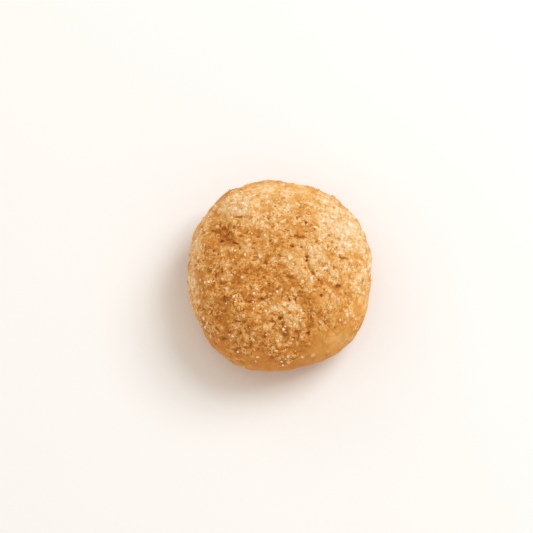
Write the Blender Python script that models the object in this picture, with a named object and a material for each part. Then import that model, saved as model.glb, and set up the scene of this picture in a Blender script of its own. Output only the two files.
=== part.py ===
"""A honey cookie: a ball of dough pressed into coarse sugar and baked into a thick round dome.

Metres, with +Z up. The cookie rests on its flat base at Z = 0, and the origin is below the
middle of its outline. It is one piece: swells, mounds, dimples and creases are relief in the
crust, and the largest crystals of its sugar are joined to it.
"""

import math
import random

import bmesh
import bpy
from mathutils import Euler, Matrix, Vector, noise
from mathutils.bvhtree import BVHTree

# Overall size of the dough, without its sugar
WIDTH = 0.0566
DEPTH = 0.0596
HEIGHT = 0.0278

# Side profile: a dome above the widest level, and a rounded foot below it that the base cuts flat
WAIST_HEIGHT = 0.0108
FOOT_REACH = 0.0135
DOME_SQUARENESS = 2.30
FOOT_SQUARENESS = 2.60

# Departures of the outline from an ellipse: waves round the rim, share of the radius, crest's bearing
OUTLINE_WAVES = (
    (2, 0.0040, 100.0),
    (3, 0.0110, 4.0),
    (4, 0.0165, 47.0),
    (5, 0.0100, 30.0),
    (6, 0.0040, 6.0),
    (7, 0.0030, 11.0),
)

# Middle of the finished outline in plan, which the relief and the crystals move off the form's axis
OUTLINE_MIDDLE = (0.0001, 0.0001)

# Mesh of the dough: cells along each edge of the cube that is rounded into it
CELLS = 26

# Swells of the crust: size of a swell across, how far it lifts or sinks the surface, and the
# height above which it is whole
SWELLS = (
    (0.0160, 0.00090, 0.0220),
    (0.0080, 0.00042, 0.0120),
    (0.0040, 0.00042, 0.0045),
)
SWELL_OFFSET = Vector((3.7, 7.3, 1.9))

# Dimples in the dome: middle in plan (x, y), half length, half width, turn in degrees, depth
DIMPLES = (
    (-0.0172, 0.0088, 0.0060, 0.0046, 10.0, 0.00125),
    (0.0174, -0.0078, 0.0021, 0.0016, 15.0, 0.00100),
    (0.0135, -0.0035, 0.0058, 0.0036, -42.0, 0.00060),
    (0.0065, 0.0105, 0.0068, 0.0034, -62.0, 0.00055),
    (-0.0090, -0.0010, 0.0070, 0.0050, 35.0, 0.00055),
    (-0.0150, -0.0185, 0.0060, 0.0040, -30.0, 0.00050),
)

# Low mounds: middle in plan, radius, height
MOUNDS = (
    (0.0018, -0.0178, 0.0078, 0.00095),
    (0.0200, 0.0085, 0.0090, 0.00070),
    (-0.0115, 0.0175, 0.0070, 0.00080),
    (-0.0212, -0.0062, 0.0028, 0.00070),
    (0.0050, -0.0045, 0.0060, 0.00045),
    (-0.0252, 0.0142, 0.0075, 0.00110),
    (0.0196, 0.0224, 0.0070, 0.00100),
    (-0.0049, 0.0295, 0.0080, 0.00070),
    (-0.0250, -0.0122, 0.0070, 0.00070),
    (0.0244, -0.0152, 0.0110, 0.00085),
)

# Creases in the crust: half width, depth, and the plan points that each runs through
CREASES = (
    (0.0020, 0.00040, ((-0.0182, 0.0056), (-0.0152, 0.0055), (-0.0124, 0.0048))),
    (0.0019, 0.00040, ((0.0076, 0.0006), (0.0089, -0.0037), (0.0127, -0.0077), (0.0157, -0.0083))),
    (0.0018, 0.00035, ((0.0068, -0.0156), (0.0088, -0.0166), (0.0097, -0.0187), (0.0086, -0.0209))),
    (0.0018, 0.00020, ((0.0137, -0.0188), (0.0156, -0.0202), (0.0170, -0.0213))),
    (0.0018, 0.00035, ((-0.0100, -0.0136), (-0.0068, -0.0128), (-0.0038, -0.0125))),
    (0.0018, 0.00030, ((-0.0130, -0.0184), (-0.0100, -0.0185))),
    (0.0018, 0.00030, ((-0.0179, -0.0218), (-0.0157, -0.0228))),
    (0.0018, 0.00035, ((-0.0150, 0.0222), (-0.0185, 0.0190))),
)

# Sugar: the height where its coat ends on the side, and how that edge wanders
SUGAR_LINE = 0.0125
SUGAR_LINE_WANDER = 0.0060
SUGAR_LINE_PATCH = 0.0110
SUGAR_LINE_SOFTNESS = 0.0015

# Share of the full coat on plain crust, and heaps with more of it: middle in plan, radius, extra share
PLAIN_COVER = 0.60
HEAPS = (
    (0.0190, 0.0085, 0.0110, 0.50),
    (-0.0112, 0.0178, 0.0080, 0.45),
    (0.0018, -0.0178, 0.0080, 0.50),
    (-0.0240, -0.0080, 0.0060, 0.40),
    (0.0120, -0.0010, 0.0070, 0.40),
)

# Bare patches of the coat: middle in plan, radius
BARE_PATCHES = (
    (0.0170, -0.0225, 0.0125),
    (0.0240, -0.0120, 0.0070),
    (0.0065, 0.0255, 0.0105),
    (-0.0045, 0.0262, 0.0105),
    (-0.0168, 0.0084, 0.0042),
    (0.0060, -0.0288, 0.0085),
    (-0.0060, -0.0288, 0.0085),
    (-0.0165, -0.0245, 0.0065),
    (0.0095, -0.0262, 0.0075),
)

# Clusters in the coat: their size across, and how far they thicken or thin it
CLUSTER_SIZE = 0.0045
CLUSTER_STRENGTH = 0.9
CLUSTER_OFFSET = Vector((6.0, 2.0, 5.0))

# The largest crystals: how many places are tried, their sides, and how deep they sit
CRYSTAL_PLACES = 300
CRYSTAL_SIDE = (0.00095, 0.00150)
CRYSTAL_SUNK = 0.65
CRYSTAL_JITTER = 0.0016
CRYSTAL_TILT = 50.0
CRYSTAL_TAPER = 0.70
SEED = 11

CRUST_COLOUR = (0.66, 0.32, 0.088, 1.0)
CRUST_ROUGHNESS = 0.62
CRYSTAL_COLOUR = (0.84, 0.62, 0.36, 1.0)
CRYSTAL_ROUGHNESS = 0.28
SMOOTH_BELOW = 50.0


def clear_scene():
    """Removes every object of the scene."""
    for old in list(bpy.data.objects):
        bpy.data.objects.remove(old, do_unlink=True)


def new_collection(name):
    """A collection in the scene."""
    collection = bpy.data.collections.new(name)
    bpy.context.scene.collection.children.link(collection)
    return collection


def baked_material(name, colour, roughness):
    """A Principled material of one colour and roughness."""
    material = bpy.data.materials.new(name)
    material.use_nodes = True
    shader = material.node_tree.nodes["Principled BSDF"]
    shader.inputs["Base Color"].default_value = colour
    shader.inputs["Roughness"].default_value = roughness
    shader.inputs["Metallic"].default_value = 0.0
    return material


def fade(distance, radius):
    """1 at the middle of a mark, falling smoothly to 0 at its radius."""
    share = max(0.0, 1.0 - distance / radius)
    return share * share * (3.0 - 2.0 * share)


def rise(value, low, high):
    """0 below low, 1 above high, and smooth between them."""
    share = min(1.0, max(0.0, (value - low) / (high - low)))
    return share * share * (3.0 - 2.0 * share)


def rim_share(bearing):
    """Radius of the outline at a bearing, as a share of the plain ellipse's."""
    return 1.0 + sum(
        share * math.cos(waves * (bearing - math.radians(crest)))
        for waves, share, crest in OUTLINE_WAVES
    )


def rim_distance(x, y):
    """How far out a plan point lies: 0 on the axis, 1 on the outline."""
    share = rim_share(math.atan2(y, x))
    return math.hypot(x / (WIDTH / 2 * share), y / (DEPTH / 2 * share))


def smooth_form(direction):
    """The point of the cookie without its relief, in a direction from the middle of its waist."""
    across = rim_distance(direction.x, direction.y)
    if direction.z >= 0.0:
        squareness, reach = DOME_SQUARENESS, HEIGHT - WAIST_HEIGHT
    else:
        squareness, reach = FOOT_SQUARENESS, FOOT_REACH
    up = abs(direction.z) / reach
    size = (across**squareness + up**squareness) ** (-1.0 / squareness)
    return direction * size + Vector((0.0, 0.0, WAIST_HEIGHT))


def on_dome(x, y):
    """The point of the smooth dome above a plan point."""
    across = min(1.0, rim_distance(x, y))
    up = (1.0 - across**DOME_SQUARENESS) ** (1.0 / DOME_SQUARENESS)
    return Vector((x, y, WAIST_HEIGHT + (HEIGHT - WAIST_HEIGHT) * up))


def distance_to_line(point, line):
    """Distance from a point to a line through several points."""
    nearest = math.inf
    for start, end in zip(line, line[1:]):
        along = end - start
        share = (point - start).dot(along) / along.length_squared
        foot = start + along * min(1.0, max(0.0, share))
        nearest = min(nearest, (point - foot).length)
    return nearest


def dimple_share(point, middle, half_length, half_width, turn):
    """How deep in a dimple's bowl a point lies, from 0 outside it to 1 at its middle."""
    offset = point - middle
    angle = math.radians(turn)
    along = offset.x * math.cos(angle) + offset.y * math.sin(angle)
    across = math.sqrt(max(0.0, offset.length_squared - along**2))
    return fade(math.hypot(along / half_length, across / half_width), 1.0)


def relief(point, creases):
    """How far the crust stands out from the smooth form at one of its points."""
    height = 0.0
    for size, lift, whole_above in SWELLS:
        swell = noise.noise(point / size + SWELL_OFFSET)
        height += lift * swell * rise(point.z, 0.0, whole_above)
    for x, y, radius, lift in MOUNDS:
        height += lift * fade((point - on_dome(x, y)).length, radius)
    for x, y, half_length, half_width, turn, depth in DIMPLES:
        height -= depth * dimple_share(point, on_dome(x, y), half_length, half_width, turn)
    for width, depth, line in creases:
        height -= depth * fade(distance_to_line(point, line), width)
    return height


def make_dough(collection, crust):
    """The cookie without its sugar: a cube rounded to the smooth form, with relief and a flat base."""
    dough = bmesh.new()
    bmesh.ops.create_cube(dough, size=2.0)
    bmesh.ops.subdivide_edges(dough, edges=dough.edges[:], cuts=CELLS - 1, use_grid_fill=True)
    for vert in dough.verts:
        vert.co = smooth_form(vert.co.normalized())
    dough.normal_update()
    creases = [
        (width, depth, [on_dome(x, y) for x, y in plan]) for width, depth, plan in CREASES
    ]
    moved = [vert.co + vert.normal * relief(vert.co, creases) for vert in dough.verts]
    for vert, place in zip(dough.verts, moved):
        vert.co = place
    cut = bmesh.ops.bisect_plane(
        dough,
        geom=dough.verts[:] + dough.edges[:] + dough.faces[:],
        plane_co=(0.0, 0.0, 0.0),
        plane_no=(0.0, 0.0, -1.0),
        clear_outer=True,
    )
    rim = [item for item in cut["geom_cut"] if isinstance(item, bmesh.types.BMEdge)]
    bmesh.ops.edgeloop_fill(dough, edges=rim)
    bmesh.ops.recalc_face_normals(dough, faces=dough.faces[:])
    mesh = bpy.data.meshes.new("honey_cookie")
    dough.to_mesh(mesh)
    dough.free()
    mesh.materials.append(crust)
    cookie = bpy.data.objects.new("honey_cookie", mesh)
    collection.objects.link(cookie)
    return cookie


def sugar_cover(point):
    """How thickly sugar coats the crust at a point, from 0 where it is bare to 1."""
    edge = SUGAR_LINE + SUGAR_LINE_WANDER * noise.noise(point / SUGAR_LINE_PATCH)
    cover = PLAIN_COVER
    for x, y, radius, extra in HEAPS:
        cover += extra * fade((point - on_dome(x, y)).length, radius)
    cover *= rise(point.z, edge - SUGAR_LINE_SOFTNESS, edge + SUGAR_LINE_SOFTNESS)
    for x, y, radius in BARE_PATCHES:
        cover *= 1.0 - fade((point - on_dome(x, y)).length, radius)
    return cover * (1.0 + CLUSTER_STRENGTH * noise.noise(point / CLUSTER_SIZE + CLUSTER_OFFSET))


def crystal_spots(draw):
    """Directions from the middle of the waist, evenly spread over the upper half by the golden angle."""
    golden_angle = math.pi * (3.0 - math.sqrt(5.0))
    for index in range(CRYSTAL_PLACES):
        height = 1.0 - (index + 0.5) / CRYSTAL_PLACES
        ring = math.sqrt(1.0 - height * height)
        turn = index * golden_angle
        spread = CRYSTAL_JITTER / (WIDTH / 2)
        direction = Vector((ring * math.cos(turn), ring * math.sin(turn), height))
        yield (direction + Vector([draw.uniform(-spread, spread) for _ in range(3)])).normalized()


def crystal_mesh(draw, sugar):
    """A blocky crystal, a little narrower at its top, in its own frame with +Z out of the crust."""
    block = bmesh.new()
    bmesh.ops.create_cube(block, size=1.0)
    sides = sorted(draw.uniform(*CRYSTAL_SIDE) for _ in range(3))
    bmesh.ops.scale(block, vec=(sides[2], sides[1], sides[0]), verts=block.verts[:])
    for vert in block.verts:
        if vert.co.z > 0.0:
            vert.co.x *= draw.uniform(CRYSTAL_TAPER, 1.0)
            vert.co.y *= draw.uniform(CRYSTAL_TAPER, 1.0)
    bmesh.ops.triangulate(block, faces=block.faces[:])
    mesh = bpy.data.meshes.new("crystal")
    block.to_mesh(mesh)
    block.free()
    mesh.materials.append(sugar)
    return mesh, sides[0]


def make_crystals(cookie, collection, sugar):
    """The largest crystals, each its own object, standing in the crust where the coat is thick."""
    draw = random.Random(SEED)
    surface = BVHTree.FromPolygons(
        [vert.co for vert in cookie.data.vertices],
        [face.vertices for face in cookie.data.polygons],
    )
    middle = Vector((0.0, 0.0, WAIST_HEIGHT))
    for direction in crystal_spots(draw):
        place, normal, _, _ = surface.ray_cast(middle + direction * WIDTH, -direction)
        mesh, thickness = crystal_mesh(draw, sugar)
        tilt = math.radians(CRYSTAL_TILT)
        turned = Euler((draw.uniform(-tilt, tilt), draw.uniform(-tilt, tilt), draw.uniform(0.0, math.tau)))
        if draw.random() > sugar_cover(smooth_form(direction)):
            bpy.data.meshes.remove(mesh)
            continue
        crystal = bpy.data.objects.new("crystal", mesh)
        crystal.matrix_world = (
            Matrix.Translation(place + normal * thickness * (0.5 - CRYSTAL_SUNK))
            @ normal.to_track_quat("Z", "Y").to_matrix().to_4x4()
            @ turned.to_matrix().to_4x4()
        )
        collection.objects.link(crystal)


def join_crystals(cookie, crystals):
    """Unites the cookie with its crystals and removes their objects."""
    union = cookie.modifiers.new("join_sugar", "BOOLEAN")
    union.operation = "UNION"
    union.operand_type = "COLLECTION"
    union.collection = crystals
    union.solver = "EXACT"
    bpy.context.view_layer.objects.active = cookie
    cookie.select_set(True)
    bpy.ops.object.modifier_apply(modifier=union.name)
    for crystal in list(crystals.objects):
        bpy.data.objects.remove(crystal, do_unlink=True)
    bpy.data.collections.remove(crystals)


def centre_on_base(cookie):
    """Moves the mesh so that the origin is below the middle of its outline."""
    x, y = OUTLINE_MIDDLE
    cookie.data.transform(Matrix.Translation((-x, -y, 0.0)))


def main():
    clear_scene()
    cookies = new_collection("honey_cookie")
    crystals = new_collection("sugar_crystals")
    crust = baked_material("golden_crust", CRUST_COLOUR, CRUST_ROUGHNESS)
    sugar = baked_material("sugar_crystal", CRYSTAL_COLOUR, CRYSTAL_ROUGHNESS)
    cookie = make_dough(cookies, crust)
    make_crystals(cookie, crystals, sugar)
    bpy.context.view_layer.update()
    join_crystals(cookie, crystals)
    centre_on_base(cookie)
    cookie.data.shade_smooth()
    cookie.data.set_sharp_from_angle(angle=math.radians(SMOOTH_BELOW))


main()
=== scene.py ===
import math
import random

import bmesh
import bpy
import numpy as np
from mathutils import Euler, Matrix, Vector, noise
from mathutils.bvhtree import BVHTree
from mathutils.kdtree import KDTree


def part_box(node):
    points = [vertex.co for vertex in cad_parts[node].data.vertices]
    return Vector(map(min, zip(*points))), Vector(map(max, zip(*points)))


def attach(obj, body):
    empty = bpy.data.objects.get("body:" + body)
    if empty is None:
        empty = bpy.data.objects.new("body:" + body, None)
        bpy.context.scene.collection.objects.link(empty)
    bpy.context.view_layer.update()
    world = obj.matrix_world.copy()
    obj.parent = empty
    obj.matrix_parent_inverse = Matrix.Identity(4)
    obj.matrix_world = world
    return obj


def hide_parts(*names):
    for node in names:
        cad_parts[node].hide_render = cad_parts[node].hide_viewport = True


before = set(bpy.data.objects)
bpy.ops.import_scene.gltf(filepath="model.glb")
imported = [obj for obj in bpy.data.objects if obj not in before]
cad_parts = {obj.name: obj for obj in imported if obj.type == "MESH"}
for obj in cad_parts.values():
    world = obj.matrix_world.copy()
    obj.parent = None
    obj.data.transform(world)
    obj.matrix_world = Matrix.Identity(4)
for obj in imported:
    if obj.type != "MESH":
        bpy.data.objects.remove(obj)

# Form of the dough, as the solid has it
WIDTH = 0.0566
DEPTH = 0.0596
HEIGHT = 0.0278
WAIST_HEIGHT = 0.0108
FOOT_REACH = 0.0135
DOME_SQUARENESS = 2.30
FOOT_SQUARENESS = 2.60
OUTLINE_WAVES = (
    (2, 0.0040, 100.0),
    (3, 0.0110, 4.0),
    (4, 0.0165, 47.0),
    (5, 0.0100, 30.0),
    (6, 0.0040, 6.0),
    (7, 0.0030, 11.0),
)
OUTLINE_MIDDLE = (0.0001, 0.0001)

# Swells, as the solid has them: size, lift, height above which they are whole
SWELLS = (
    (0.0160, 0.00090, 0.0220),
    (0.0080, 0.00042, 0.0120),
    (0.0040, 0.00042, 0.0045),
)
SWELL_OFFSET = (3.7, 7.3, 1.9)

# Dimples: middle in plan, half length, half width, turn in degrees, depth
DIMPLES = (
    (-0.0172, 0.0088, 0.0060, 0.0046, 10.0, 0.00125),
    (0.0174, -0.0078, 0.0021, 0.0016, 15.0, 0.00100),
    (0.0135, -0.0035, 0.0058, 0.0036, -42.0, 0.00060),
    (0.0065, 0.0105, 0.0068, 0.0034, -62.0, 0.00055),
    (-0.0090, -0.0010, 0.0070, 0.0050, 35.0, 0.00055),
    (-0.0150, -0.0185, 0.0060, 0.0040, -30.0, 0.00050),
)

# Mounds: middle in plan, radius, height
MOUNDS = (
    (0.0018, -0.0178, 0.0078, 0.00095),
    (0.0200, 0.0085, 0.0090, 0.00070),
    (-0.0115, 0.0175, 0.0070, 0.00080),
    (-0.0212, -0.0062, 0.0028, 0.00070),
    (0.0050, -0.0045, 0.0060, 0.00045),
    (-0.0252, 0.0142, 0.0075, 0.00110),
    (0.0196, 0.0224, 0.0070, 0.00100),
    (-0.0049, 0.0295, 0.0080, 0.00070),
    (-0.0250, -0.0122, 0.0070, 0.00070),
    (0.0244, -0.0152, 0.0110, 0.00085),
)

# Creases: half width, depth, plan points
CREASES = (
    (0.0020, 0.00040, ((-0.0182, 0.0056), (-0.0152, 0.0055), (-0.0124, 0.0048))),
    (0.0019, 0.00040, ((0.0076, 0.0006), (0.0089, -0.0037), (0.0127, -0.0077), (0.0157, -0.0083))),
    (0.0018, 0.00035, ((0.0068, -0.0156), (0.0088, -0.0166), (0.0097, -0.0187), (0.0086, -0.0209))),
    (0.0018, 0.00020, ((0.0137, -0.0188), (0.0156, -0.0202), (0.0170, -0.0213))),
    (0.0018, 0.00035, ((-0.0100, -0.0136), (-0.0068, -0.0128), (-0.0038, -0.0125))),
    (0.0018, 0.00030, ((-0.0130, -0.0184), (-0.0100, -0.0185))),
    (0.0018, 0.00030, ((-0.0179, -0.0218), (-0.0157, -0.0228))),
    (0.0018, 0.00035, ((-0.0150, 0.0222), (-0.0185, 0.0190))),
)

# Sugar coat, as the solid has it
SUGAR_LINE = 0.0125
SUGAR_LINE_WANDER = 0.0060
SUGAR_LINE_PATCH = 0.0110
SUGAR_LINE_SOFTNESS = 0.0015
PLAIN_COVER = 0.60
HEAPS = (
    (0.0190, 0.0085, 0.0110, 0.50),
    (-0.0112, 0.0178, 0.0080, 0.45),
    (0.0018, -0.0178, 0.0080, 0.50),
    (-0.0240, -0.0080, 0.0060, 0.40),
    (0.0120, -0.0010, 0.0070, 0.40),
)
BARE_PATCHES = (
    (0.0170, -0.0225, 0.0125),
    (0.0240, -0.0120, 0.0070),
    (0.0065, 0.0255, 0.0105),
    (-0.0045, 0.0262, 0.0105),
    (-0.0168, 0.0084, 0.0042),
    (0.0060, -0.0288, 0.0085),
    (-0.0060, -0.0288, 0.0085),
    (-0.0165, -0.0245, 0.0065),
    (0.0095, -0.0262, 0.0075),
)
CLUSTER_SIZE = 0.0045
CLUSTER_STRENGTH = 0.9
CLUSTER_OFFSET = (6.0, 2.0, 5.0)

# Largest crystals, where the solid has them
CRYSTAL_PLACES = 300
CRYSTAL_SIDE = (0.00095, 0.00150)
CRYSTAL_SUNK = 0.65
CRYSTAL_JITTER = 0.0016
CRYSTAL_TILT = 50.0
CRYSTAL_TAPER = 0.70
CRYSTAL_BEVEL = 0.26
CRYSTAL_SEED = 11

# Grid of the crust: cells along a cube's edge, and how far the cube is shifted up to favour the dome
CELLS = 141
DOME_FAVOUR = 0.38

# Seeds of the random draws: pits of the crust, grains of the coat, shades of the largest crystals
CRUST_SEED = 21
SUGAR_SEED = 5
SHADE_SEED = 3

# Fine relief: the share of it that bare crust keeps, and the height over which it fades in from the base
BARE_RELIEF = 0.20
BASE_FADE = 0.0040

# Lumps of the crust: size across, lift
LUMPS = (
    (0.0034, 0.00032),
    (0.0018, 0.00019),
)
LUMP_OFFSET = (5.0, 1.0, 2.0)

# Granules under the glaze: size of a cell, lift, share of the cells that hold one
GRANULES = (
    (0.00220, 0.00018, 0.65),
    (0.00150, 0.00017, 0.65),
)
GRANULE_RADIUS = (0.38, 0.66)
WARP_SIZE = 0.0013
WARP = 0.00045
WARP_OFFSETS = ((0.0, 3.0, 7.0), (5.0, 1.0, 2.0), (8.0, 4.0, 6.0))

# Cracks along the creases' middles
CRACK_WIDTH = 0.00055
CRACK_DEPTH = 0.00020
CRACK_WANDER = 0.0009
CRACK_WANDER_SIZE = 0.0014
CRACK_WANDER_OFFSET = (2.0, 8.0, 3.0)

# Pits seen on the dome, sunk in and painted dark inside as painted shade: plan place, radius, depth
PITS = (
    (-0.0197, 0.0037, 0.00055, 0.0006), (-0.0201, -0.0144, 0.00050, 0.0005),
    (-0.0031, -0.0075, 0.00050, 0.0005), (0.0029, -0.0127, 0.00050, 0.0005),
    (0.0049, -0.0126, 0.00065, 0.0006), (0.0000, -0.0179, 0.00080, 0.0007),
    (0.0084, -0.0218, 0.00060, 0.0005), (0.0124, -0.0110, 0.00055, 0.0005),
    (-0.0013, 0.0170, 0.00045, 0.0004), (0.0102, 0.0092, 0.00055, 0.0005),
    (0.0079, 0.0114, 0.00060, 0.0005), (0.0039, 0.0036, 0.00060, 0.0005),
    (0.0080, 0.0006, 0.00080, 0.0009), (0.0080, -0.0004, 0.00070, 0.0008),
    (-0.0169, -0.0026, 0.00045, 0.0005), (-0.0169, -0.0033, 0.00045, 0.0005),
    (-0.0156, 0.0090, 0.00065, 0.0006), (-0.0180, 0.0071, 0.00070, 0.0006),
)

# Pits scattered over the coat, painted dark inside as painted shade: how many, radius, depth as a share of
# it, strength of the painted shade, least coat
SCATTERED_PITS = 30
SCATTERED_PIT_RADIUS = (0.00028, 0.00050)
SCATTERED_PIT_DEPTH = 0.8
SCATTERED_PIT_SHADE = 0.7
SCATTERED_PIT_COAT = 0.2

# Hollows where the crust gets painted shade: attribute, rounds of smoothing that find them, depth that
# counts as 1
HOLLOWS = (
    ("hollow", 3, 0.00005),
    ("valley", 24, 0.0003),
)

# Browner zones of the crust, partly from baking and partly painted shade in the deep dimple and on the front
# left: plan place, radius, strength
BROWNED_AND_SHADED = (
    (-0.0172, 0.0086, 0.0068, 0.95), (-0.0190, 0.0060, 0.0060, 0.80),
    (-0.0140, 0.0062, 0.0055, 0.60), (-0.0085, 0.0075, 0.0060, 0.45),
    (-0.0045, 0.0078, 0.0055, 0.65), (0.0045, 0.0085, 0.0060, 0.40),
    (0.0005, 0.0035, 0.0045, 0.40), (-0.0120, -0.0005, 0.0075, 0.68),
    (-0.0042, -0.0055, 0.0080, 0.62), (0.0010, -0.0090, 0.0065, 0.78),
    (0.0080, -0.0090, 0.0060, 0.45), (0.0150, -0.0130, 0.0050, 0.40),
    (-0.0165, -0.0185, 0.0125, 0.62), (-0.0150, -0.0240, 0.0080, 0.30),
    (-0.0170, -0.0060, 0.0080, 0.35), (-0.0175, -0.0003, 0.0055, 0.50),
    (-0.0095, -0.0098, 0.0075, 0.66), (-0.0068, -0.0128, 0.0042, 0.60),
    (-0.0085, -0.0150, 0.0080, 0.35), (-0.0040, -0.0200, 0.0070, 0.40),
    (-0.0040, -0.0280, 0.0070, 0.40), (0.0040, -0.0285, 0.0070, 0.40),
    (0.0060, -0.0225, 0.0050, 0.35), (0.0005, -0.0250, 0.0050, 0.40),
    (-0.0091, -0.0215, 0.0045, 0.50), (0.0098, -0.0212, 0.0040, 0.35),
    (0.0170, -0.0080, 0.0030, 0.25),
)

# Paler zones, where melted sugar made a thin glaze, stronger as painted light on the back right and along
# the left rim: plan place, radius, strength
GLAZED_AND_LIT = (
    (0.0195, 0.0115, 0.0165, 1.70), (0.0265, 0.0020, 0.0120, 0.85),
    (0.0262, -0.0090, 0.0095, 0.80), (0.0190, -0.0030, 0.0100, 0.75),
    (0.0115, 0.0020, 0.0090, 0.80), (0.0055, 0.0000, 0.0080, 0.75),
    (0.0135, 0.0190, 0.0115, 0.95), (0.0060, 0.0240, 0.0110, 0.85),
    (-0.0040, 0.0240, 0.0120, 1.10), (0.0020, 0.0225, 0.0095, 0.95),
    (-0.0135, 0.0185, 0.0115, 1.15), (-0.0080, 0.0130, 0.0090, 0.75),
    (0.0010, 0.0170, 0.0110, 0.80), (-0.0095, 0.0035, 0.0075, 0.50),
    (-0.0235, 0.0150, 0.0080, 0.95), (-0.0262, 0.0065, 0.0090, 1.20),
    (-0.0270, -0.0030, 0.0085, 1.00), (-0.0262, -0.0110, 0.0080, 1.00),
    (0.0010, -0.0155, 0.0085, 0.20), (0.0195, -0.0150, 0.0110, 0.42),
    (0.0170, -0.0215, 0.0110, 0.55), (0.0150, -0.0110, 0.0070, 0.45),
    (0.0120, -0.0255, 0.0080, 0.20), (0.0242, -0.0045, 0.0085, 0.95),
    (0.0085, -0.0052, 0.0058, 0.80), (0.0051, 0.0125, 0.0045, 0.80),
    (-0.0045, 0.0171, 0.0050, 0.75), (-0.0250, -0.0085, 0.0065, 0.50),
    (0.0145, -0.0090, 0.0035, 0.60), (0.0205, -0.0210, 0.0065, 0.65),
    (-0.0045, 0.0030, 0.0035, 0.50), (0.0050, 0.0030, 0.0035, 0.60),
)

# Zones where the sugar's lace stayed white: plan place, radius, strength
FROSTED = (
    (0.0015, -0.0155, 0.0055, 0.85), (0.0060, -0.0180, 0.0045, 0.62),
    (-0.0030, -0.0190, 0.0050, 0.60), (-0.0105, 0.0185, 0.0075, 0.55),
    (-0.0020, 0.0125, 0.0055, 0.50), (0.0125, -0.0025, 0.0060, 0.90),
    (0.0080, 0.0030, 0.0050, 0.60), (-0.0262, -0.0045, 0.0050, 0.80),
    (0.0200, 0.0020, 0.0080, 0.40), (0.0185, 0.0095, 0.0075, 0.85),
    (-0.0010, 0.0010, 0.0050, 0.40),
)

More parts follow.
